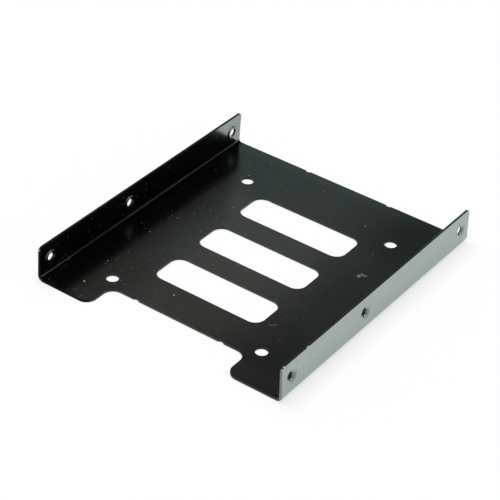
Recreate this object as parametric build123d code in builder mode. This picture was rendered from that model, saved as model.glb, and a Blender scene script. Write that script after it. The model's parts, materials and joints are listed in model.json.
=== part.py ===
from build123d import *
import os
from math import atan2, cos, degrees, radians, sin, tan

# Drive bay adapter bracket: one steel sheet, folded into a shallow open tray.
# A small drive is screwed to the plate through four plain holes, and each upturned
# flange is screwed to a side wall of the larger bay through three tapped holes.
# Millimetres. X runs across the tray, Y along it and Z up. The origin is on the
# underside, midway between the flanges and midway along them. The end at -Y, called
# the near end, has the cut-out that leaves room for the drive's connectors.

# Sheet and folds. The sheet's length follows from the bay's holes, further down.
width = 100.0  # over the outer faces of the flanges, taken on down to the underside
height = 13.5  # from the underside of the plate to the top of the flanges
sheet = 0.9
bend_inside = 1.2
flange_lean = 2.0  # degrees by which each flange leans inwards

# Rounded upper corners of the flanges
near_corner = 1.6
far_corner = 1.1

# Cut-out between the two tabs of the near end
cutout_width = 56.2
cutout_depth = 11.9
cutout_corner = 4.0

# Slots across the plate
slot_count = 3
slot_length = 44.0
slot_width = 14.3
slot_corner = 4.0
slot_pitch = 23.8
slot_start = 33.0  # from the near end to the middle of the first slot

# Shallow pilot notches, two in each end of the plate
notch_spacing = 35.0
notch_radius = 1.5
notch_depth = 0.5

# Plain holes for the small drive: the standard pattern of its underside
drive_hole = 4.5
drive_hole_across = 61.72
drive_hole_along = 76.6
drive_hole_start = 15.9  # from the near end to the first row

# Tapped holes for the bay: the standard pattern of a larger drive's sides.
# The bore has the thread's outer diameter, so that a screw of that size seats.
bay_hole = 3.5
bay_hole_span = 101.6  # from the first hole to the last
bay_hole_middle = 41.6  # from the first hole to the middle one
bay_hole_margin = 5.2  # from the first and last holes to the ends of the sheet
bay_hole_height = 7.35  # above the underside of the plate

# Each tapped hole is pressed inwards: a dimple outside and a ring inside
dimple_depth = 0.35
dimple_slope = 1.05  # how far the dimple's mouth reaches past the bore
lip_width = 0.45  # flat lip round the bore, on top of the ring
ring_slope = 0.6  # how far the ring's foot reaches past its lip
press_blend = 0.5  # rounding at the foot of the ring and at the dimple's mouth
lip_blend = 0.25

# Worked out from the sizes above
bend_outside = bend_inside + sheet
lean = radians(flange_lean)
flange_inset = height * tan(lean)  # how much further in a flange's top stands than its foot
length = bay_hole_span + 2 * bay_hole_margin
near_end = -length / 2
far_end = length / 2
cutout_edge = near_end + cutout_depth
slot_places = [(0, near_end + slot_start + place * slot_pitch) for place in range(slot_count)]
drive_hole_centre = near_end + drive_hole_start + drive_hole_along / 2
first_bay_hole = -bay_hole_span / 2
bay_hole_places = [first_bay_hole, first_bay_hole + bay_hole_middle, first_bay_hole + bay_hole_span]
notch_setback = notch_radius - notch_depth
mouth_reach = width / 2 - bay_hole_height * tan(lean)  # from the middle of the tray to a dimple's mouth
dimple_mouth = bay_hole + 2 * dimple_slope
dimple_taper = degrees(atan2(dimple_slope, dimple_depth))
ring_lip = bay_hole + 2 * lip_width
ring_foot = ring_lip + 2 * ring_slope
ring_taper = degrees(atan2(ring_slope, dimple_depth))


def crest_ends(part):
    """Edges across the tops of the flanges, grouped from the near end to the far one."""
    return part.faces().sort_by(Axis.Z)[-2:].edges().filter_by(Axis.Y, reverse=True).group_by(Axis.Y)


def rims(part, diameter, depth):
    """Circular edges of one diameter, at one depth under the flanges' outer faces."""
    reach = mouth_reach - depth * cos(lean)
    round_edges = part.edges().filter_by(GeomType.CIRCLE)
    sized = round_edges.filter_by(lambda edge: abs(2 * edge.radius - diameter) < 0.001)
    return sized.filter_by(lambda edge: abs(abs(edge.arc_center.X) - reach) < 0.001)


with BuildPart() as bracket:
    # The folded section, drawn across the tray and run along it
    with BuildSketch(Plane.XZ) as section:
        with BuildLine():
            Polyline(
                (flange_inset - width / 2, height),
                (-width / 2, 0),
                (width / 2, 0),
                (width / 2 - flange_inset, height),
            )
            offset(amount=sheet, side=Side.LEFT)
        make_face()
        fillet(section.vertices().group_by(Axis.Y)[1], bend_inside)
        fillet(section.vertices().group_by(Axis.Y)[0], bend_outside)
    extrude(amount=length / 2, both=True)

    # Upper corners of the flanges
    fillet(crest_ends(bracket)[0], near_corner)
    fillet(crest_ends(bracket)[-1], far_corner)

    # Connector cut-out, with rounded tabs and rounded inner corners
    with BuildSketch():
        with Locations((0, near_end)):
            Rectangle(cutout_width, 2 * cutout_depth)
    extrude(amount=sheet, mode=Mode.SUBTRACT)
    fillet(bracket.edges(Select.LAST).filter_by(Axis.Z), cutout_corner)

    # Slots
    with BuildSketch():
        with Locations(*slot_places):
            RectangleRounded(slot_length, slot_width, slot_corner)
    extrude(amount=sheet, mode=Mode.SUBTRACT)

    # Pilot notches, bitten into the cut-out's edge and the far end
    with BuildSketch():
        with Locations((0, (cutout_edge + far_end) / 2)):
            with GridLocations(notch_spacing, far_end - cutout_edge + 2 * notch_setback, 2, 2):
                Circle(notch_radius)
    extrude(amount=sheet, mode=Mode.SUBTRACT)

    # Plain holes for the small drive
    with Locations((0, drive_hole_centre, 0)):
        with GridLocations(drive_hole_across, drive_hole_along, 2, 2):
            Hole(drive_hole / 2)

    # Pressed and tapped holes for the bay, square to the leaning flanges
    for side in (-1, 1):
        inwards = (-side * cos(lean), 0, -sin(lean))
        for place in bay_hole_places:
            mouth = Plane(origin=(side * mouth_reach, place, bay_hole_height), z_dir=inwards)
            with BuildSketch(mouth.offset(sheet)):
                Circle(ring_foot / 2)
            extrude(amount=dimple_depth, taper=ring_taper)
            with BuildSketch(mouth):
                Circle(dimple_mouth / 2)
            extrude(amount=dimple_depth, taper=dimple_taper, mode=Mode.SUBTRACT)
            with BuildSketch(mouth):
                Circle(bay_hole / 2)
            extrude(amount=sheet + dimple_depth, mode=Mode.SUBTRACT)
    fillet(rims(bracket, dimple_mouth, 0), press_blend)
    fillet(rims(bracket, ring_foot, sheet), press_blend)
    fillet(rims(bracket, ring_lip, sheet + dimple_depth), lip_blend)

os.makedirs("parts", exist_ok=True)
bracket.part.label = "bracket"
export_step(bracket.part, "parts/bracket.step")
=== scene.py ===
"""Dresses the drive bay adapter bracket in gloss black paint and stands it in a plain pale studio."""
import json
import logging
from dataclasses import dataclass
from enum import Enum
from math import cos, pi, radians, sin
from typing import Any

import bpy
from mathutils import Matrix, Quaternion, Vector


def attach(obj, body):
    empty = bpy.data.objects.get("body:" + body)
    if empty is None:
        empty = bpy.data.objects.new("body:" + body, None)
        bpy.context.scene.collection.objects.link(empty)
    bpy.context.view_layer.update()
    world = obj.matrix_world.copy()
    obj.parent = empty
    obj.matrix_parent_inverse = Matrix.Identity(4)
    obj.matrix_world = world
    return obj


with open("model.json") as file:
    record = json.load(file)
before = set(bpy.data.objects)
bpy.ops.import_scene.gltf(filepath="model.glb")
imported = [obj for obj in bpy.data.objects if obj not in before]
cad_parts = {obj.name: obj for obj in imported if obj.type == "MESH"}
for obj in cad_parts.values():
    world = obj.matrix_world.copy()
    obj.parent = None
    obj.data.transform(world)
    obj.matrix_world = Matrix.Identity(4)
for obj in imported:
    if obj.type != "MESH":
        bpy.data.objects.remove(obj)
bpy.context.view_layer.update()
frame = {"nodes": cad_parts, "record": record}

log = logging.getLogger("bracket")

MM = 0.001  # one millimetre in the scene's metres
BODY = "root"
NODE = "bracket"
PLATE_EDGE = 46.8  # millimetres from the middle of the tray to where its bends begin
SHEET_END = 54.3  # millimetres along it, past which a face belongs to an end of the sheet

Socket = bpy.types.NodeSocket
Colour = tuple[float, float, float, float]
Span = tuple[float, float]  # where a smooth step starts, and where it is complete


def grey(level: float) -> Colour:
    """A neutral colour of one linear level."""
    return (level, level, level, 1.0)


class Number:
    """A socket that carries a number, on which Python's operators add Math nodes."""

    def __init__(self, graph: "Graph", socket: Socket) -> None:
        """Wraps one output socket of a graph."""
        self.graph = graph
        self.socket = socket

    def math(self, operation: str, *values: "Number | float") -> "Number":
        """One Math node.

        Args:
            operation: the Math node's operation, such as "ADD".
            values: its inputs in order, as numbers or wrapped sockets.

        Returns:
            The node's output.
        """
        made = self.graph.node("ShaderNodeMath", {"operation": operation}, dict(enumerate(values)))
        return Number(self.graph, made.outputs[0])

    def __add__(self, other: "Number | float") -> "Number":
        """Adds another value."""
        return self.math("ADD", self, other)

    def __sub__(self, other: "Number | float") -> "Number":
        """Takes another value away."""
        return self.math("SUBTRACT", self, other)

    def __mul__(self, other: "Number | float") -> "Number":
        """Multiplies by another value."""
        return self.math("MULTIPLY", self, other)

    def __truediv__(self, other: "Number | float") -> "Number":
        """Divides by another value."""
        return self.math("DIVIDE", self, other)

    def __radd__(self, other: float) -> "Number":
        """Adds this value to a number."""
        return self.math("ADD", other, self)

    def __rsub__(self, other: float) -> "Number":
        """Takes this value away from a number."""
        return self.math("SUBTRACT", other, self)

    def __rmul__(self, other: float) -> "Number":
        """Multiplies a number by this value."""
        return self.math("MULTIPLY", other, self)

    def size(self) -> "Number":
        """The value without its sign."""
        return self.math("ABSOLUTE", self)

    def rounded(self) -> "Number":
        """The nearest whole number."""
        return self.math("ROUND", self)

    def fraction(self) -> "Number":
        """How far the value is above the whole number below it."""
        return self.math("FRACT", self)

    def sine(self) -> "Number":
        """The sine of an angle in radians."""
        return self.math("SINE", self)

    def cosine(self) -> "Number":
        """The cosine of an angle in radians."""
        return self.math("COSINE", self)

    def greatest(self, other: "Number | float") -> "Number":
        """The larger of two values."""
        return self.math("MAXIMUM", self, other)

    def least(self, other: "Number | float") -> "Number":
        """The smaller of two values."""
        return self.math("MINIMUM", self, other)

    def clamped(self) -> "Number":
        """The value held between 0 and 1."""
        return self.greatest(0.0).least(1.0)

    def above(self, limit: "Number | float") -> "Number":
        """1 where the value is over a limit, and 0 elsewhere."""
        return self.math("GREATER_THAN", self, limit)

    def below(self, limit: "Number | float") -> "Number":
        """1 where the value is under a limit, and 0 elsewhere."""
        return self.math("LESS_THAN", self, limit)

    def step(self, start: float, end: float) -> "Number":
        """Rises smoothly from 0 at start to 1 at end, or falls where end lies below start.

        Args:
            start: the value at which the result is still 0.
            end: the value from which the result is 1.

        Returns:
            The smoothed step.
        """
        low, high = min(start, end), max(start, end)
        made = self.graph.node(
            "ShaderNodeMapRange",
            {"interpolation_type": "SMOOTHSTEP"},
            {"Value": self, "From Min": low, "From Max": high},
        )
        risen = Number(self.graph, made.outputs[0])
        return risen if start < end else 1.0 - risen


class Graph:
    """The nodes of one material, world or geometry tree."""

    def __init__(self, tree: bpy.types.NodeTree) -> None:
        """Takes over a tree and empties it."""
        self.tree = tree
        tree.nodes.clear()

    def node(
        self,
        kind: str,
        settings: dict[str, Any] | None = None,
        inputs: dict[str | int, Any] | None = None,
    ) -> bpy.types.Node:
        """Adds one node.

        Args:
            kind: the node's type.
            settings: its properties, set first; "stops" holds a ramp's places and colours.
            inputs: values, sockets or wrapped numbers, by input name or place.

        Returns:
            The new node.
        """
        made = self.tree.nodes.new(kind)
        for name, value in (settings or {}).items():
            if name == "stops":
                self.set_stops(made.color_ramp, value)
            else:
                setattr(made, name, value)
        for place, value in (inputs or {}).items():
            source = value.socket if isinstance(value, Number) else value
            if isinstance(source, Socket):
                self.tree.links.new(source, made.inputs[place])
            else:
                made.inputs[place].default_value = source
        return made

    def set_stops(self, ramp: bpy.types.ColorRamp, stops: list[tuple[float, Colour]]) -> None:
        """Gives a colour ramp its stops.

        Args:
            ramp: the ramp of a new node, which has two stops.
            stops: places from 0 to 1 with their colours, in rising order.
        """
        while len(ramp.elements) < len(stops):
            ramp.elements.new(1.0)
        for element, (place, colour) in zip(ramp.elements, stops):
            element.position = place
            element.color = colour

    def number(
        self,
        kind: str,
        output: str | int,
        settings: dict[str, Any] | None = None,
        inputs: dict[str | int, Any] | None = None,
    ) -> Number:
        """Adds one node and wraps one of its outputs as a number.

        Args:
            kind: the node's type.
            output: the output's name or place.
            settings: the node's properties.
            inputs: the node's inputs.

        Returns:
            The wrapped output.
        """
        return Number(self, self.node(kind, settings, inputs).outputs[output])

    def noise(self, place: Socket, scale: float, detail: float) -> Number:
        """Smooth noise, which varies about one half.

        Args:
            place: the coordinates that it follows.
            scale: how many of its waves there are to one unit of them.
            detail: how many layers of finer waves lie on those.

        Returns:
            The noise.
        """
        inputs = {"Vector": place, "Scale": scale, "Detail": detail}
        return self.number("ShaderNodeTexNoise", "Fac", None, inputs)

    def scaled(self, vector: Socket, factor: float) -> Socket:
        """A vector times a number.

        Args:
            vector: the vector.
            factor: the number.

        Returns:
            The longer or shorter vector.
        """
        made = self.node("ShaderNodeVectorMath", {"operation": "SCALE"}, {0: vector, "Scale": factor})
        return made.outputs["Vector"]

    def parts(self, vector: Socket) -> tuple[Number, Number, Number]:
        """The three parts of a vector.

        Args:
            vector: the vector.

        Returns:
            Its X, Y and Z.
        """
        split = self.node("ShaderNodeSeparateXYZ", None, {0: vector})
        x, y, z = (Number(self, part) for part in split.outputs)
        return x, y, z

    def normal(self) -> tuple[Number, Number, Number]:
        """The X, Y and Z of the way that a face looks, before any smoothing."""
        return self.parts(self.node("ShaderNodeNewGeometry").outputs["True Normal"])

    def along(self, vector: Socket, way: tuple[float, float, float]) -> Number:
        """How far a vector reaches along a way.

        Args:
            vector: the vector.
            way: the way.

        Returns:
            Their dot product.
        """
        inputs = {0: vector, 1: way}
        return self.number("ShaderNodeVectorMath", "Value", {"operation": "DOT_PRODUCT"}, inputs)

    def mix_colour(self, share: Any, first: Any, second: Any) -> Socket:
        """Mixes two colours.

        Args:
            share: how much of the second colour shows.
            first: the colour at 0.
            second: the colour at 1.

        Returns:
            The mixed colour.
        """
        inputs = {0: share, 6: first, 7: second}  # 6 and 7, and output 2, are the node's colours
        return self.node("ShaderNodeMix", {"data_type": "RGBA"}, inputs).outputs[2]


class Outline(Enum):
    """How the edge of a mark runs: its value is how much of the rough noise moves it."""

    ROUND = 0.0
    RAGGED = 2.4


@dataclass(frozen=True)
class Mark:
    """One scuff, chip, grain of dust or painted glint on the paint, in millimetres in the bracket's frame.
    """

    centre: tuple[float, float, float]
    size: tuple[float, float, float]
    turn: float = 0.0  # degrees about Z
    strength: float = 1.0
    outline: Outline = Outline.ROUND
    fade: Span = (1.0, 0.5)  # from the outline inwards, in shares of the mark's size

    def mask(self, graph: Graph, millimetres: Socket, rough: Number) -> Number:
        """Draws the mark as a soft oval, with its outline broken up where it is ragged.

        Args:
            graph: the material's nodes.
            millimetres: the Object coordinates in millimetres.
            rough: the noise that breaks an outline.

        Returns:
            A mask that is as high as the mark is strong.
        """
        local = graph.node(
            "ShaderNodeMapping",
            {"vector_type": "TEXTURE"},
            {
                "Vector": millimetres,
                "Location": self.centre,
                "Rotation": (0.0, 0.0, radians(self.turn)),
                "Scale": self.size,
            },
        )
        away = graph.number("ShaderNodeVectorMath", "Value", {"operation": "LENGTH"}, {0: local.outputs[0]})
        if self.outline is Outline.RAGGED:
            away = away + self.outline.value * (rough - 0.5)
        return away.step(*self.fade) * self.strength


MARKS_AND_GLINTS = (
    Mark((32.6, 13.8, 0.9), (0.85, 0.95, 0.5), 0.0, 0.34, Outline.RAGGED),
    Mark((32.8, 15.3, 0.9), (0.5, 0.6, 0.5), 0.0, 0.34, Outline.RAGGED),
    Mark((34.0, 15.1, 0.9), (1.4, 0.45, 0.5), 22.0, 0.26, Outline.RAGGED),
    Mark((25.4, -27.1, 0.9), (1.6, 0.4, 0.5), 45.0, 0.10, Outline.RAGGED),
    Mark((26.3, -26.2, 0.9), (0.5, 0.35, 0.5), 45.0, 0.22, Outline.RAGGED),
    Mark((18.0, 39.8, 0.9), (0.3, 0.6, 0.5), -30.0, 0.30),
    Mark((-37.0, -47.5, 0.9), (0.36, 0.36, 0.5), 0.0, 1.0),
    Mark((-9.1, -34.5, 0.9), (0.34, 0.34, 0.5), 0.0, 0.9),
    # Pale spots at the left flange's near top corner and at the near end of the left bend: painted glints
    # where those edges catch the light.
    Mark((-49.1, -55.8, 12.4), (0.42, 0.4, 0.36), 0.0, 1.0),
    Mark((-48.6, -55.9, 0.6), (0.35, 0.3, 0.5), 0.0, 0.8),
    Mark((49.7, -38.5, 7.6), (0.5, 0.45, 0.55), 0.0, 0.75, Outline.RAGGED),
    Mark((49.7, -40.8, 6.8), (0.5, 0.4, 0.35), 0.0, 0.65, Outline.RAGGED),
    Mark((49.7, -44.9, 9.9), (0.5, 0.8, 0.35), 0.0, 0.50, Outline.RAGGED),
    Mark((49.7, -46.7, 8.6), (0.5, 0.7, 0.35), 0.0, 0.65, Outline.RAGGED),
    Mark((49.7, -45.3, 5.8), (0.5, 0.35, 0.35), 0.0, 0.40, Outline.RAGGED),
    Mark((49.7, -43.3, 5.7), (0.5, 0.45, 0.35), 0.0, 0.45, Outline.RAGGED),
    Mark((49.7, -50.0, 10.8), (0.5, 0.6, 0.3), 0.0, 0.40, Outline.RAGGED),
    Mark((49.7, -42.6, 10.9), (0.5, 0.6, 0.35), 0.0, 0.40, Outline.RAGGED),
    # Pale spots at the right flange's near top corner: painted glints where that edge catches the light.
    Mark((49.2, -55.6, 12.6), (0.6, 0.5, 0.35), 0.0, 0.9, Outline.RAGGED),
    Mark((49.3, -54.9, 13.3), (0.5, 0.5, 0.4), 0.0, 0.8, Outline.RAGGED),
    Mark((49.3, -42.1, 13.4), (0.3, 0.7, 0.3), 0.0, 0.8, Outline.RAGGED),
)


@dataclass(frozen=True)
class Grains:
    """Loose dust of one size: a grain in some of the cells that the surface is divided into."""

    spacing: float  # between neighbouring cells, in metres
    reach: float  # the radius of a grain, in metres
    share: float  # how many of the cells hold a grain that shows
    strength: float
    core: float = 0.35  # how much of a grain's radius has its full strength

    def mask(self, graph: Graph, place: Socket) -> Number:
        """Scatters the grains, each with a brightness of its own.

        Args:
            graph: the material's nodes.
            place: the Object coordinates.

        Returns:
            A mask that is as high as the grains are strong.
        """
        cells = graph.node("ShaderNodeTexVoronoi", None, {"Vector": place, "Scale": 1 / self.spacing})
        near = Number(graph, cells.outputs["Distance"])
        chance, _, _ = graph.parts(cells.outputs["Color"])
        grain = near.step(self.reach / self.spacing, self.core * self.reach / self.spacing)
        return grain * chance.step(1.0 - self.share, 1.0) * self.strength


@dataclass(frozen=True)
class PlateShadeAndMottle:
    """The plate's uneven gloss, which stands in part for what the plate mirrors in the photograph: it is
    lowered in places as painted shade, with a real mottle over all.

    Places are millimetres in the bracket's frame, and a loss is a share of the gloss.
    """

    top: float = 1.2  # the height under which a face is the plate's
    left: Span = (-12.0, -38.0)  # across the tray, where the painted shade of the left band sets in
    left_loss: float = 0.72
    left_start: float = -48.6  # across, from where the slant of the band's far end is counted
    left_slant: float = 1.48  # how much nearer that end lies for each millimetre across
    left_end: Span = (46.0, 60.0)  # along the tray
    right: Span = (3.0, 36.0)  # across
    right_loss: float = 0.60
    right_near: Span = (-44.0, -50.0)  # along, where the right side loses less
    right_relief: float = 0.08
    near: Span = (-14.0, -36.0)  # along
    near_side: Span = (-34.0, -25.0)  # across, so that the near loss leaves the left band alone
    near_loss: float = 0.27
    far: Span = (20.0, 38.0)  # along
    far_loss: float = 0.33
    far_rim: Span = (50.0, 54.0)  # along, where the far side loses less
    far_relief: float = 0.5
    mottle: float = 13.0 * MM
    mottle_depth: float = 0.22
    grain: float = 0.45 * MM
    grain_depth: float = 0.20

    def factor(self, graph: Graph, place: Socket, millimetres: Socket) -> Number:
        """Works out the gloss, lowered as painted shade: least along the left bend, less on the right and
        towards the ends, and mottled all over.

        Args:
            graph: the material's nodes.
            place: the Object coordinates.
            millimetres: the same in millimetres.

        Returns:
            A factor on the coat's weight, which is 1 off the plate.
        """
        x, y, z = graph.parts(millimetres)
        on_plate = z.below(self.top) * x.size().below(PLATE_EDGE)
        past_left = (y + self.left_slant * (x - self.left_start)).step(*self.left_end)
        left = x.step(*self.left) * (1.0 - past_left) * self.left_loss
        right = x.step(*self.right) * (self.right_loss - self.right_relief * y.step(*self.right_near))
        near = y.step(*self.near) * x.step(*self.near_side) * self.near_loss
        far = y.step(*self.far) * (1.0 - self.far_relief * y.step(*self.far_rim)) * self.far_loss
        falling = (1.0 - left) * (1.0 - right) * (1.0 - near) * (1.0 - far)
        mottle = graph.noise(place, 1 / self.mottle, detail=3.0)
        grain = graph.noise(place, 1 / self.grain, detail=1.0)
        uneven = falling + self.mottle_depth * (mottle - 0.5) + self.grain_depth * (grain - 0.5)
        return 1.0 - on_plate * (1.0 - uneven)


@dataclass(frozen=True)
class CutFacesAndShade:
    """How the gloss differs: less on cut faces, as sheared faces are duller, and lowered as painted shade
    on the flanges' ends and crests, inside the left flange, along its bend, on its pressed rings and on the
    near right foot.

    Places are millimetres in the bracket's frame, and a loss is a share of the gloss. A facing is how far a
    face looks across the tray, along it or up, from 0 to 1.
    """

    shear_spacing: float = 0.35 * MM  # between the lines that shearing leaves on cut faces
    cut_loss: float = 0.84
    cut_depth: float = 0.3  # how much the lines vary that loss
    end_facing: Span = (0.1, 0.4)  # along
    left_end_loss: float = 0.93
    right_end_loss: float = 0.22
    crest_foot: float = 12.0  # the height over which a face that looks up is a crest's
    crest_facing: Span = (0.2, 0.6)  # up
    left_crest_loss: float = 0.85
    right_crest_loss: float = 0.55
    right_crest_near: Span = (-54.9, -54.2)  # along, where the right crest's loss sets in
    right_crest_far: Span = (20.0, 44.0)  # and where it is less
    right_crest_relief: float = 0.5
    inside_facing: Span = (0.5, 0.9)  # across
    inside_loss: float = 0.27
    bend_top: float = 2.3
    bend_start: Span = (-54.0, -45.0)  # along, where the left bend's loss sets in
    bend_start_loss: float = 0.3
    bend_rest: Span = (-45.0, -30.0)  # and where it grows
    bend_rest_loss: float = 0.32
    ring_foot: float = 3.0  # the height over which the left flange has its pressed rings
    ring_top_facing: Span = (0.99, 0.95)  # across, from the flat faces to the rings' slopes
    ring_side_facing: Span = (0.3, 0.5)  # and from the bores' walls to those
    ring_loss: float = 0.5
    foot_side: float = 49.0  # across, the outer limit of the near right foot's end face
    foot_top: float = 1.5
    foot_loss: float = 0.8

    def factor(self, graph: Graph, millimetres: Socket, cut: Number) -> Number:
        """Works out the gloss of those faces.

        Args:
            graph: the material's nodes.
            millimetres: the Object coordinates in millimetres.
            cut: the mask of the cut faces.

        Returns:
            A factor on the coat's weight.
        """
        x, y, z = graph.parts(millimetres)
        out, along, up = graph.normal()
        on_left = x.below(-PLATE_EDGE)
        lines = graph.noise(millimetres, MM / self.shear_spacing, detail=3.0)
        cut_gloss = 1.0 - cut * (self.cut_loss - self.cut_depth * (lines - 0.5))
        on_end = x.size().above(PLATE_EDGE) * y.size().above(SHEET_END)
        end = along.size().step(*self.end_facing) * on_end
        left_end = 1.0 - end * x.below(0.0) * self.left_end_loss
        right_end = 1.0 - end * x.above(0.0) * self.right_end_loss
        right_crest = self.right_crest_loss - self.right_crest_relief * y.step(*self.right_crest_far)
        right_crest = right_crest * y.step(*self.right_crest_near)
        crest_loss = right_crest.greatest(self.left_crest_loss * x.below(0.0))
        crest = 1.0 - up.step(*self.crest_facing) * z.above(self.crest_foot) * crest_loss
        inside = 1.0 - out.step(*self.inside_facing) * on_left * self.inside_loss
        bend_loss = self.bend_start_loss * y.step(*self.bend_start)
        bend_loss = bend_loss + self.bend_rest_loss * y.step(*self.bend_rest)
        bend = 1.0 - on_left * z.below(self.bend_top) * bend_loss
        slope = out.step(*self.ring_top_facing) * out.step(*self.ring_side_facing)
        on_rings = on_left * z.above(self.ring_foot) * y.size().below(SHEET_END)
        rings = 1.0 - on_rings * slope * self.ring_loss
        on_foot = x.above(PLATE_EDGE) * x.below(self.foot_side) * z.below(self.foot_top)
        foot = 1.0 - on_foot * y.below(-SHEET_END) * self.foot_loss
        return cut_gloss * left_end * right_end * crest * inside * bend * rings * foot


@dataclass(frozen=True)
class BlackPaint:
    """Baked black paint on sheet steel: dark inside, and more of a mirror the flatter it is seen."""

    name: str = "black_paint"
    body: Colour = (0.0008, 0.0008, 0.0008, 1.0)
    # the colour of dust, and of the painted glints
    dust_and_glints: Colour = (0.52, 0.55, 0.53, 1.0)
    dark_end_colour: Colour = (0.012, 0.009, 0.007, 1.0)  # painted shade: the dark colour of the near end of the left flange and its tab
    index: float = 1.45
    coat_index: float = 4.0
    roughness: float = 0.30
    worn_roughness: float = 0.3  # on top of that, on dust, on the painted glints and on cut faces
    coat_roughness: float = 0.18
    sheen_stops: tuple[tuple[float, float], ...] = (  # how flat the view is, and the gloss at that
        (0.0, 0.12),
        (0.2, 0.3),
        (0.33, 0.6),
        (0.42, 0.8),
        (0.56, 1.0),
    )
    peel: float = 1.1 * MM  # width of the paint's faint waves
    peel_depth: float = 0.0012 * MM
    shade_and_mottle: PlateShadeAndMottle = PlateShadeAndMottle()
    cut_and_shade: CutFacesAndShade = CutFacesAndShade()
    fine: Grains = Grains(1.4 * MM, 0.20 * MM, 0.55, 0.48)
    coarse: Grains = Grains(2.7 * MM, 0.25 * MM, 0.6, 1.0)
    least_dust: float = 0.30  # on the right, as a share of what lies on the left
    dusty: Span = (5.0, -25.0)  # millimetres across the tray, from the right's dust to the left's
    roughening: float = 2.2  # waves to the millimetre in the noise that breaks a ragged mark
    outer_face: float = 49.3  # millimetres across, to the right flange's outer face, glossy under its dust
    cut_facing: Span = (0.97, 0.75)  # how far up or down a face looks, from the plate's to the cut ones
    dark_end_facing: Span = (-0.1, -0.5)  # how far along the tray the near end with painted shade looks
    dark_end_side: float = -28.0  # millimetres across, left of which the near end has painted shade
    dark_end_share: float = 0.9

    def make(self) -> bpy.types.Material:
        """Builds the paint.

        Returns:
            The material.
        """
        material = bpy.data.materials.new(self.name)
        material.use_nodes = True
        graph = Graph(material.node_tree)
        place = graph.node("ShaderNodeTexCoord").outputs["Object"]
        millimetres = graph.scaled(place, 1 / MM)
        x, _, _ = graph.parts(millimetres)
        dust_and_glints = self.dust_and_glint_mask(graph, place, millimetres)
        cut = self.cut_mask(graph, millimetres)
        # painted shade: the plate's gloss and that of the flanges' ends, crests, inside and bend are
        # lowered in places
        gloss = self.sheen(graph) * self.shade_and_mottle.factor(graph, place, millimetres)
        gloss = gloss * self.cut_and_shade.factor(graph, millimetres, cut)
        waves = graph.noise(place, 1 / self.peel, detail=2.0)
        bump = graph.node(
            "ShaderNodeBump", None, {"Strength": 1.0, "Distance": self.peel_depth, "Height": waves}
        )
        painted = graph.node(
            "ShaderNodeBsdfPrincipled",
            None,
            {
                "Base Color": graph.mix_colour(dust_and_glints, self.body, self.dust_and_glints),
                "Roughness": self.roughness + self.worn_roughness * dust_and_glints.greatest(cut),
                "IOR": self.index,
                "Coat Weight": gloss * (1.0 - dust_and_glints * x.below(self.outer_face)),
                "Coat Roughness": self.coat_roughness,
                "Coat IOR": self.coat_index,
                "Normal": bump.outputs["Normal"],
            },
        )
        # painted shade: a dark matte finish on the near end of the left flange and its tab
        flat = graph.node("ShaderNodeBsdfDiffuse", None, {"Color": self.dark_end_colour})
        dark_end = self.dark_left_end(graph, millimetres) * (1.0 - dust_and_glints)
        both = graph.node("ShaderNodeMixShader", None, {0: dark_end, 1: painted.outputs[0], 2: flat.outputs[0]})
        graph.node("ShaderNodeOutputMaterial", None, {"Surface": both.outputs[0]})
        return material

    def sheen(self, graph: Graph) -> Number:
        """How much of a mirror the paint is, which rises as it is seen at a flatter angle.

        Args:
            graph: the material's nodes.

        Returns:
            The coat's weight on a clean face.
        """
        facing = graph.number("ShaderNodeLayerWeight", "Facing", None, {"Blend": 0.5})
        stops = [(place, grey(level)) for place, level in self.sheen_stops]
        ramp = graph.node("ShaderNodeValToRGB", {"stops": stops}, {"Fac": facing})
        return Number(graph, ramp.outputs["Color"])

    def cut_mask(self, graph: Graph, millimetres: Socket) -> Number:
        """Where the sheet was cut: the walls of the slots, holes and cut-out, and the plate's ends.

        Args:
            graph: the material's nodes.
            millimetres: the Object coordinates in millimetres.

        Returns:
            A mask that is 1 on the cut faces.
        """
        x, _, _ = graph.parts(millimetres)
        _, _, up = graph.normal()
        return up.size().step(*self.cut_facing) * x.size().below(PLATE_EDGE)

    def dark_left_end(self, graph: Graph, millimetres: Socket) -> Number:
        """Where the near end of the left flange and of its tab is made dark and matte, as painted shade.

        Args:
            graph: the material's nodes.
            millimetres: the Object coordinates in millimetres.

        Returns:
            A mask of the sheet's end there.
        """
        x, y, _ = graph.parts(millimetres)
        _, along, _ = graph.normal()
        on_end = y.below(-SHEET_END) * x.below(self.dark_end_side)
        return along.step(*self.dark_end_facing) * on_end * self.dark_end_share

    def dust_and_glint_mask(self, graph: Graph, place: Socket, millimetres: Socket) -> Number:
        """Where dust, scuffs and painted glints lie: grains all over, and the single marks of the
        photograph.

        Args:
            graph: the material's nodes.
            place: the Object coordinates.
            millimetres: the same in millimetres.

        Returns:
            A mask that is 1 on the dust and on the painted glints.
        """
        x, _, _ = graph.parts(millimetres)
        amount = self.least_dust + (1.0 - self.least_dust) * x.step(*self.dusty)
        mask = self.fine.mask(graph, place).greatest(self.coarse.mask(graph, place)) * amount
        rough = graph.noise(millimetres, self.roughening, detail=4.0)
        for mark in MARKS_AND_GLINTS:
            mask = mask.greatest(mark.mask(graph, millimetres, rough))
        return mask


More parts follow.
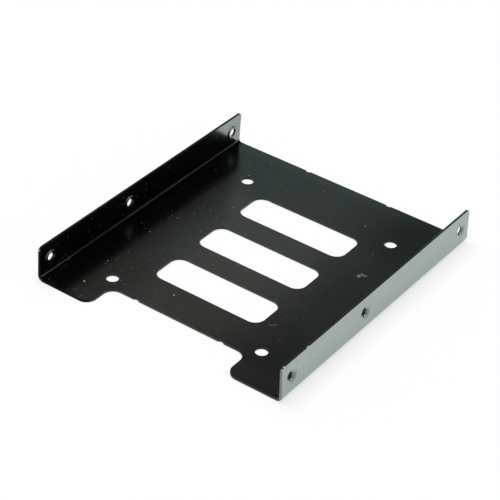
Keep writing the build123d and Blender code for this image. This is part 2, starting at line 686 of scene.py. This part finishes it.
@dataclass
class Tray:
    """The folded tray itself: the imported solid, with its edges rounded and its paint on."""

    weld: float = 0.01 * MM
    rounding: float = 0.14 * MM
    rounding_steps: int = 3
    sharp: float = radians(35.0)
    area_weight: int = 100  # how much the larger face decides the shading across an edge, in percent

    def build(self, paint: bpy.types.Material) -> bpy.types.Object:
        """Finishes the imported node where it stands.

        Args:
            paint: the paint of the whole sheet.

        Returns:
            The node's object.
        """
        tray = frame["nodes"][NODE]
        for slot in tray.material_slots:
            slot.material = paint
        weld = tray.modifiers.new("weld", "WELD")
        weld.merge_threshold = self.weld
        rounded = tray.modifiers.new("rounded edges", "BEVEL")
        rounded.width = self.rounding
        rounded.segments = self.rounding_steps
        rounded.limit_method = "ANGLE"
        rounded.angle_limit = self.sharp
        rounded.harden_normals = False
        even = tray.modifiers.new("even shading", "WEIGHTED_NORMAL")
        even.keep_sharp = False
        even.weight = self.area_weight
        return tray


@dataclass
class BayThreads:
    """The cut threads of the six flange holes, as one ring for each bore, half sunk in its wall."""

    name: str = "bay_threads"
    bore_radius: float = 1.75 * MM
    crest_radius: float = 1.34 * MM
    pitch: float = 0.794 * MM  # 32 turns to the inch
    depth: float = 0.74 * MM  # of the ring, along the bore
    lead: float = 0.09 * MM  # over which the thread rises at each end
    clear: float = 0.01 * MM  # how far the thread's root stands in from the bore's wall
    bury: float = 0.06 * MM  # and how far the ring's outside lies behind it
    around: int = 64  # steps of the grid round the ring
    along: int = 18  # and up its thread
    root_flat: float = 0.125  # of half a turn
    crest_flat: float = 0.25
    merge: float = 0.001 * MM
    sharp: float = radians(50.0)

    def build(self, paint: bpy.types.Material) -> bpy.types.Object:
        """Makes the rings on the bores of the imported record.

        Args:
            paint: the paint of the sheet, which the threads share.

        Returns:
            The finished piece.
        """
        piece = bpy.data.objects.new(self.name, self.bores())
        bpy.context.scene.collection.objects.link(piece)
        tree = self.make_tree()
        rings = piece.modifiers.new("rings", "NODES")
        rings.node_group = tree
        sizes = {
            "Bore Radius": self.bore_radius,
            "Crest Radius": self.crest_radius,
            "Pitch": self.pitch,
            "Depth": self.depth,
            "Lead": self.lead,
            "Around": self.around,
            "Along": self.along,
            "Material": paint,
        }
        for item in tree.interface.items_tree:
            if item.name in sizes:
                rings[item.identifier] = sizes[item.name]
        graph = bpy.context.evaluated_depsgraph_get()
        mesh = bpy.data.meshes.new_from_object(piece.evaluated_get(graph))
        mesh.name = self.name
        piece.modifiers.remove(rings)
        piece.data = mesh
        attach(piece, BODY)
        return piece

    def bores(self) -> bpy.types.Mesh:
        """One point in the middle of each bore, with the way out of the bore as an attribute.

        Returns:
            The mesh of points.
        """
        places: list[Vector] = []
        ways: list[float] = []
        for mount in frame["record"]["mounts"]:
            if not mount["name"].startswith(("bay_holes", "bay_middle")):
                continue
            half = mount["dims"].get("spacing_x_mm", 0.0) / 2 * MM
            for shift in sorted({-half, half}):
                places.append(Vector(mount["pos_m"]) + Vector((0.0, shift, 0.0)))
                ways.extend(mount["axis"])
        mesh = bpy.data.meshes.new("bores")
        mesh.from_pydata(places, [], [])
        mesh.attributes.new("way", "FLOAT_VECTOR", "POINT").data.foreach_set("vector", ways)
        return mesh

    def make_tree(self) -> bpy.types.GeometryNodeTree:
        """Builds the nodes that stand one threaded ring on each point.

        Returns:
            The geometry tree, with its sizes as named inputs.
        """
        tree = bpy.data.node_groups.new("threaded rings", "GeometryNodeTree")
        tree.interface.new_socket(name="Geometry", in_out="INPUT", socket_type="NodeSocketGeometry")
        for name in ("Bore Radius", "Crest Radius", "Pitch", "Depth", "Lead"):
            tree.interface.new_socket(name=name, in_out="INPUT", socket_type="NodeSocketFloat")
        for name in ("Around", "Along"):
            tree.interface.new_socket(name=name, in_out="INPUT", socket_type="NodeSocketInt")
        tree.interface.new_socket(name="Material", in_out="INPUT", socket_type="NodeSocketMaterial")
        tree.interface.new_socket(name="Geometry", in_out="OUTPUT", socket_type="NodeSocketGeometry")
        graph = Graph(tree)
        given = graph.node("NodeGroupInput").outputs
        ring = self.ring(graph, given)
        way = graph.node("GeometryNodeInputNamedAttribute", {"data_type": "FLOAT_VECTOR"}, {"Name": "way"})
        turn = graph.node(
            "FunctionNodeAlignRotationToVector", {"axis": "Z"}, {"Vector": way.outputs["Attribute"]}
        )
        placed = graph.node(
            "GeometryNodeInstanceOnPoints",
            None,
            {"Points": given["Geometry"], "Instance": ring, "Rotation": turn.outputs["Rotation"]},
        )
        real = graph.node("GeometryNodeRealizeInstances", None, {"Geometry": placed.outputs["Instances"]})
        dressed = graph.node(
            "GeometryNodeSetMaterial",
            None,
            {"Geometry": real.outputs["Geometry"], "Material": given["Material"]},
        )
        graph.node("NodeGroupOutput", None, {"Geometry": dressed.outputs["Geometry"]})
        return tree

    def ring(self, graph: Graph, given: Any) -> Socket:
        """Rolls a grid into one closed ring round Z, with the thread on its inner wall.

        The grid's rows 0 to Along climb the thread. The next two run down the outside, and the last one
        closes the ring on row 0.

        Args:
            graph: the tree's nodes.
            given: the outputs of the tree's input node.

        Returns:
            The ring's geometry.
        """
        names = ("Bore Radius", "Crest Radius", "Pitch", "Depth", "Lead", "Around", "Along")
        bore, crest, pitch, deep, lead, around, rows = (Number(graph, given[name]) for name in names)
        grid = graph.node(
            "GeometryNodeMeshGrid",
            None,
            {"Size X": 1.0, "Size Y": 1.0, "Vertices X": around + 1, "Vertices Y": rows + 4},
        )
        across, upwards, _ = graph.parts(graph.node("GeometryNodeInputPosition").outputs["Position"])
        turned = across + 0.5
        row = ((upwards + 0.5) * (rows + 3)).rounded()
        share = (row / rows).clamped() * row.below(rows + 1.5)
        outer = row.above(rows + 0.5) * row.below(rows + 2.5)
        phase = (share * deep / pitch - turned).fraction()
        rise = 1.0 - (2.0 * phase - 1.0).size()
        ridge = ((rise - self.root_flat) * (1 / (1 - self.root_flat - self.crest_flat))).clamped()
        risen = (share.least(1.0 - share) * deep / lead).clamped()
        wall = bore - self.clear
        inner = wall - (wall - crest) * ridge * risen
        reach = inner + outer * (bore + self.bury - inner)
        angle = turned * (2 * pi)
        moved = graph.node(
            "ShaderNodeCombineXYZ",
            None,
            {0: reach * angle.cosine(), 1: reach * angle.sine(), 2: (share - 0.5) * deep},
        )
        rolled = graph.node(
            "GeometryNodeSetPosition",
            None,
            {"Geometry": grid.outputs["Mesh"], "Position": moved.outputs[0]},
        )
        joined = graph.node(
            "GeometryNodeMergeByDistance", None, {"Geometry": rolled.outputs[0], "Distance": self.merge}
        )
        outwards = graph.node("GeometryNodeFlipFaces", None, {"Mesh": joined.outputs[0]})
        smooth = graph.node("GeometryNodeSetShadeSmooth", {"domain": "FACE"}, {0: outwards.outputs[0]})
        bend = graph.number("GeometryNodeInputMeshEdgeAngle", "Unsigned Angle")
        creased = graph.node(
            "GeometryNodeSetShadeSmooth",
            {"domain": "EDGE"},
            {0: smooth.outputs[0], "Selection": bend.above(self.sharp), "Shade Smooth": False},
        )
        return creased.outputs[0]


@dataclass
class Studio:
    """The pale floor, the soft light and the camera of the photograph."""

    floor_size: float = 6.0
    floor_gap: float = 0.02 * MM
    floor_colour: float = 0.96
    floor_share: float = 0.66  # of the floor's white that is plain white and takes no shadow
    mirrored_floor: Colour = (0.81, 1.0, 0.965, 1.0)  # the floor as the paint mirrors it
    ambient: float = 0.22  # the even light on everything that isn't mirrored
    wall_way: tuple[float, float, float] = (-0.80, 0.03, -0.60)  # towards what lies to the left and low
    dark_light: float = 0.001  # what the paint mirrors furthest from that way
    dim: Span = (-0.5, -0.2)  # nearer to it
    dim_light: float = 0.05
    wall: Span = (-0.12, 0.0)  # and nearer still
    wall_light: float = 0.17
    horizon: Span = (0.30, 0.0)  # from this height down to the floor's, there is more light
    horizon_light: float = 0.08
    right_way: tuple[float, float, float] = (0.8, -0.6, 0.0)
    right: Span = (0.15, 0.22)  # towards that way, the horizon has more light again
    right_light: float = 0.08
    window: Span = (0.25, 0.31)  # and from here on it is bright
    window_light: float = 4.8
    cast_side: Span = (-0.15, -0.08)  # towards the wall's way, where the light has a tint
    cast_height: Span = (0.35, 0.45)
    cool_colour: Colour = (0.55, 1.0, 1.08, 1.0)  # the tint of most of that light
    warm_side: Span = (-0.055, -0.02)
    warm_height: Span = (0.52, 0.60)
    warm_colour: Colour = (1.12, 1.0, 0.80, 1.0)  # and of what is higher up
    lamp_place: tuple[float, float, float] = (-0.12, 0.12, 1.0)
    lamp_spread: float = radians(56.0)
    lamp_strength: float = 2.60
    focal_pixels: float = 1846.4
    frame_pixels: float = 500.0
    sensor: float = 36.0
    nearest: float = 0.01  # what the camera draws begins here, in metres
    furthest: float = 20.0
    azimuth: float = 34.3136
    elevation: float = 35.6857
    roll: float = 3.2023
    distance: float = 636.768 * MM
    target: tuple[float, float, float] = (-5.4864 * MM, 3.3521 * MM, 0.0)

    def build(self) -> None:
        """Builds the floor, world, lamp and camera."""
        self.make_floor()
        self.make_world()
        self.make_lamp()
        self.make_camera()
        bpy.context.scene.view_settings.view_transform = "Standard"

    def make_floor(self) -> None:
        """Lays a white floor that keeps the tray's shadow."""
        half = self.floor_size / 2
        corners = [(-half, -half), (half, -half), (half, half), (-half, half)]
        mesh = bpy.data.meshes.new("floor")
        mesh.from_pydata([(x, y, -self.floor_gap) for x, y in corners], [], [(0, 1, 2, 3)])
        floor = bpy.data.objects.new("floor", mesh)
        bpy.context.scene.collection.objects.link(floor)
        material = bpy.data.materials.new("pale_floor")
        material.use_nodes = True
        graph = Graph(material.node_tree)
        path = graph.node("ShaderNodeLightPath")
        glossy = Number(graph, path.outputs["Is Glossy Ray"])
        seen = Number(graph, path.outputs["Is Camera Ray"]).greatest(glossy)
        plain = graph.mix_colour(glossy, grey(1.0), self.mirrored_floor)
        lit = graph.node("ShaderNodeBsdfDiffuse", None, {"Color": grey(self.floor_colour)})
        white = graph.node("ShaderNodeEmission", None, {"Color": plain, "Strength": 1.0})
        both = graph.node(
            "ShaderNodeMixShader",
            None,
            {0: self.floor_share * seen, 1: lit.outputs[0], 2: white.outputs[0]},
        )
        graph.node("ShaderNodeOutputMaterial", None, {"Surface": both.outputs[0]})
        mesh.materials.append(material)

    def make_world(self) -> None:
        """A white surround for the camera, faint even light, and a studio for the paint to mirror."""
        world = bpy.data.worlds.new("studio")
        bpy.context.scene.world = world
        world.use_nodes = True
        graph = Graph(world.node_tree)
        path = graph.node("ShaderNodeLightPath")
        camera = Number(graph, path.outputs["Is Camera Ray"])
        glossy = Number(graph, path.outputs["Is Glossy Ray"])
        way = graph.node("ShaderNodeTexCoord").outputs["Generated"]
        side = graph.along(way, self.wall_way)
        right = graph.along(way, self.right_way)
        _, _, height = graph.parts(way)
        dim = side.step(*self.dim) * (self.dim_light - self.dark_light)
        wall = side.step(*self.wall) * (self.wall_light - self.dim_light)
        low = self.horizon_light + right.step(*self.right) * self.right_light
        low = low + right.step(*self.window) * self.window_light
        mirrored = self.dark_light + dim + wall + height.step(*self.horizon) * low
        strength = camera + glossy * mirrored + (1.0 - camera) * (1.0 - glossy) * self.ambient
        warmth = side.step(*self.warm_side) * height.step(*self.warm_height)
        cast = side.step(*self.cast_side) * height.step(*self.cast_height)
        tinted = graph.mix_colour(warmth, self.cool_colour, self.warm_colour)
        plain = graph.mix_colour(glossy * right.step(*self.right), grey(1.0), self.mirrored_floor)
        colour = graph.mix_colour(glossy * cast, plain, tinted)
        background = graph.node("ShaderNodeBackground", None, {"Color": colour, "Strength": strength})
        graph.node("ShaderNodeOutputWorld", None, {"Surface": background.outputs[0]})

    def make_lamp(self) -> None:
        """One wide soft lamp overhead, a little to the back left, which the paint doesn't mirror."""
        lamp = bpy.data.lights.new("soft_lamp", "SUN")
        lamp.angle = self.lamp_spread
        lamp.energy = self.lamp_strength
        holder = bpy.data.objects.new("soft_lamp", lamp)
        holder.location = self.lamp_place
        holder.rotation_mode = "QUATERNION"
        holder.rotation_quaternion = (-Vector(self.lamp_place)).to_track_quat("-Z", "Y")
        holder.visible_glossy = False
        bpy.context.scene.collection.objects.link(holder)

    def make_camera(self) -> None:
        """Stands the camera where the photograph was taken."""
        data = bpy.data.cameras.new("camera")
        data.sensor_width = self.sensor
        data.lens = self.focal_pixels / self.frame_pixels * self.sensor
        data.clip_start = self.nearest
        data.clip_end = self.furthest
        camera = bpy.data.objects.new("camera", data)
        round_z, above = radians(self.azimuth), radians(self.elevation)
        back = Vector((sin(round_z) * cos(above), -cos(round_z) * cos(above), sin(above)))
        camera.location = Vector(self.target) + back * self.distance
        camera.rotation_mode = "QUATERNION"
        level = (-back).to_track_quat("-Z", "Y")
        camera.rotation_quaternion = level @ Quaternion((0.0, 0.0, 1.0), radians(self.roll))
        bpy.context.scene.collection.objects.link(camera)
        bpy.context.scene.camera = camera


def main() -> None:
    """Builds the finishes, the tray, its threads and the studio in order."""
    logging.basicConfig(level=logging.INFO, format="%(message)s")
    paint = BlackPaint().make()
    tray = Tray().build(paint)
    log.info("%s: rounded and painted", tray.name)
    threads = BayThreads().build(paint)
    log.info("%s: %d faces", threads.name, len(threads.data.polygons))
    Studio().build()
    log.info("studio: floor, world, lamp and camera")


if __name__ == "__main__":
    main()
